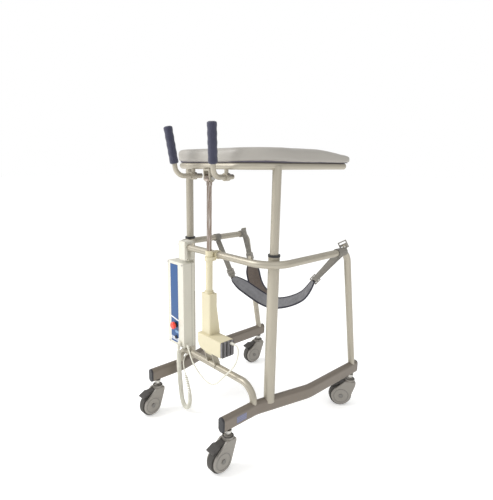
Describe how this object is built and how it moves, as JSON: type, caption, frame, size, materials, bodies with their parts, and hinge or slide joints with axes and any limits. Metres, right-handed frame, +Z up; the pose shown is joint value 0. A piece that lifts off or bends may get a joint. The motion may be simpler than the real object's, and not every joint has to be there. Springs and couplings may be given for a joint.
{
  "type": "sit to stand lift",
  "caption": "Wheeled sit to stand lift with a horseshoe forearm pad raised by a central electric actuator, upright grips, a waist rail and a hanging sling.",
  "frame": {"origin": "on the floor, at the centre of the base in plan", "axes": "+Z up, -Y towards the grips and control box, +Y towards the open rear where the user enters, +X the side of the near rail"},
  "size_m": [0.6564, 0.8361, 1.234],
  "materials": {
    "frame_paint": "satin",
    "carriage_paint": "satin",
    "zinc_steel": "satin",
    "chromed_rod": "polished",
    "bronze": "machined",
    "grey_plastic": "matt",
    "dark_plastic": "matt",
    "cream_plastic": "satin",
    "white_plastic": "satin",
    "blue_label": "satin",
    "red_plastic": "gloss",
    "green_board": "matt",
    "cord_pvc": "satin",
    "grip_foam": "matt foam",
    "wheel_tread": "matt",
    "pad_vinyl": "satin coated fabric over foam",
    "board_wood": "plywood",
    "sling_cloth": "woven",
    "webbing": "woven webbing"
  },
  "bodies": {
    "frame": {"actuator_base_pin": "zinc_steel", "actuator_clamp": "cream_plastic", "actuator_fork": "frame_paint", "actuator_tube": "cream_plastic", "battery_pack": "dark_plastic", "cable_glands": "white_plastic", "castor_stems": "zinc_steel", "circuit_board": "green_board", "column_bushes": "dark_plastic", "control_box_back": "white_plastic", "control_box_front": "white_plastic", "control_panel": "blue_label", "cross_tube": "frame_paint", "drive_motor": "zinc_steel", "estop_collar": "dark_plastic", "gear_housing": "cream_plastic", "handrail": "frame_paint", "handset_curly_cord": "cord_pvc", "handset_lead": "cord_pvc", "handset_shell": "white_plastic", "hanger_bracket": "frame_paint", "motor_cable": "cord_pvc", "motor_end_cover": "grey_plastic", "motor_housing": "cream_plastic", "outer_columns": "frame_paint", "rail_end_caps": "dark_plastic", "side_rails": "frame_paint", "sling_bands": "sling_cloth", "sling_hooks": "frame_paint", "sling_straps": "webbing", "wiper_collar": "cream_plastic"},
    "carriage": {"inner_columns": "carriage_paint", "pad_frame": "carriage_paint", "lift_clevis": "carriage_paint", "clevis_bolt": "zinc_steel", "pad_board": "board_wood", "forearm_pad": "pad_vinyl", "push_rod": "chromed_rod", "spindle_nut": "bronze", "handle_clamps": "carriage_paint"},
    "screw": {"lead_screw": "zinc_steel"},
    "handle_right": {"handle_right": "carriage_paint", "grip_right": "grip_foam"},
    "handle_left": {"handle_left": "carriage_paint", "grip_left": "grip_foam"},
    "estop": {"estop_button": "red_plastic"},
    "up_button": {"handset_up_button": "dark_plastic"},
    "down_button": {"handset_down_button": "dark_plastic"},
    "swivel_front_right": {"castor_housing_front_right": "grey_plastic"},
    "wheel_front_right": {"castor_wheel_front_right": "wheel_tread"},
    "pedal_front_right": {"castor_pedal_front_right": "grey_plastic"},
    "swivel_front_left": {"castor_housing_front_left": "grey_plastic"},
    "wheel_front_left": {"castor_wheel_front_left": "wheel_tread"},
    "pedal_front_left": {"castor_pedal_front_left": "grey_plastic"},
    "swivel_rear_right": {"castor_housing_rear_right": "grey_plastic"},
    "wheel_rear_right": {"castor_wheel_rear_right": "wheel_tread"},
    "pedal_rear_right": {"castor_pedal_rear_right": "grey_plastic"},
    "swivel_rear_left": {"castor_housing_rear_left": "grey_plastic"},
    "wheel_rear_left": {"castor_wheel_rear_left": "wheel_tread"},
    "pedal_rear_left": {"castor_pedal_rear_left": "grey_plastic"}
  },
  "joints": [
    {"name": "lift", "type": "slide", "parent": "frame", "child": "carriage", "axis": [0, 0, 1], "range_m": [-0.25, 0.02]},
    {"name": "screw_spin", "type": "hinge", "parent": "frame", "child": "screw", "pos_m": [0, -0.249, 0.388], "axis": [0, 0, 1], "range_deg": [-7501, 601]},
    {"name": "handle_right_slide", "type": "slide", "parent": "carriage", "child": "handle_right", "axis": [0.1748, -0.9846, 0], "range_m": [-0.02, 0.018]},
    {"name": "handle_left_slide", "type": "slide", "parent": "carriage", "child": "handle_left", "axis": [-0.1748, -0.9846, 0], "range_m": [-0.02, 0.018]},
    {"name": "swivel_front_right", "type": "hinge", "parent": "frame", "child": "swivel_front_right", "pos_m": [0.236, -0.355, 0.108], "axis": [0, 0, 1], "continuous": true},
    {"name": "wheel_front_right", "type": "hinge", "parent": "swivel_front_right", "child": "wheel_front_right", "pos_m": [0.236, -0.395, 0.05], "axis": [1, 0, 0], "continuous": true},
    {"name": "pedal_front_right", "type": "hinge", "parent": "swivel_front_right", "child": "pedal_front_right", "pos_m": [0.236, -0.379, 0.111], "axis": [1, 0, 0], "range_deg": [0, 9]},
    {"name": "swivel_front_left", "type": "hinge", "parent": "frame", "child": "swivel_front_left", "pos_m": [-0.236, -0.355, 0.108], "axis": [0, 0, 1], "continuous": true},
    {"name": "wheel_front_left", "type": "hinge", "parent": "swivel_front_left", "child": "wheel_front_left", "pos_m": [-0.2346, -0.39498, 0.05], "axis": [0.9994, 0.0349, 0], "continuous": true},
    {"name": "pedal_front_left", "type": "hinge", "parent": "swivel_front_left", "child": "pedal_front_left", "pos_m": [-0.23516, -0.37899, 0.111], "axis": [0.9994, 0.0349, 0], "range_deg": [0, 9]},
    {"name": "swivel_rear_right", "type": "hinge", "parent": "frame", "child": "swivel_rear_right", "pos_m": [0.294, 0.355, 0.108], "axis": [0, 0, 1], "continuous": true},
    {"name": "wheel_rear_right", "type": "hinge", "parent": "swivel_rear_right", "child": "wheel_rear_right", "pos_m": [0.26572, 0.32672, 0.05], "axis": [0.7071, -0.7071, 0], "continuous": true},
    {"name": "pedal_rear_right", "type": "hinge", "parent": "swivel_rear_right", "child": "pedal_rear_right", "pos_m": [0.27703, 0.33803, 0.111], "axis": [0.7071, -0.7071, 0], "range_deg": [0, 9]},
    {"name": "swivel_rear_left", "type": "hinge", "parent": "frame", "child": "swivel_rear_left", "pos_m": [-0.294, 0.355, 0.108], "axis": [0, 0, 1], "continuous": true},
    {"name": "wheel_rear_left", "type": "hinge", "parent": "swivel_rear_left", "child": "wheel_rear_left", "pos_m": [-0.30095, 0.31561, 0.05], "axis": [0.9848, -0.1736, 0], "continuous": true},
    {"name": "pedal_rear_left", "type": "hinge", "parent": "swivel_rear_left", "child": "pedal_rear_left", "pos_m": [-0.29817, 0.33137, 0.111], "axis": [0.9848, -0.1736, 0], "range_deg": [0, 9]},
    {"name": "estop_press", "type": "slide", "parent": "frame", "child": "estop", "axis": [0, 1, 0], "range_m": [0, 0.004], "stiffness_N_per_m": 600},
    {"name": "up_press", "type": "slide", "parent": "frame", "child": "up_button", "axis": [1, 0, 0], "range_m": [0, 0.0015], "stiffness_N_per_m": 400},
    {"name": "down_press", "type": "slide", "parent": "frame", "child": "down_button", "axis": [1, 0, 0], "range_m": [0, 0.0015], "stiffness_N_per_m": 400}
  ],
  "couplings": [
    {"joint": "screw_spin", "follows": "lift", "rad_per_m": 523.6}
  ]
}
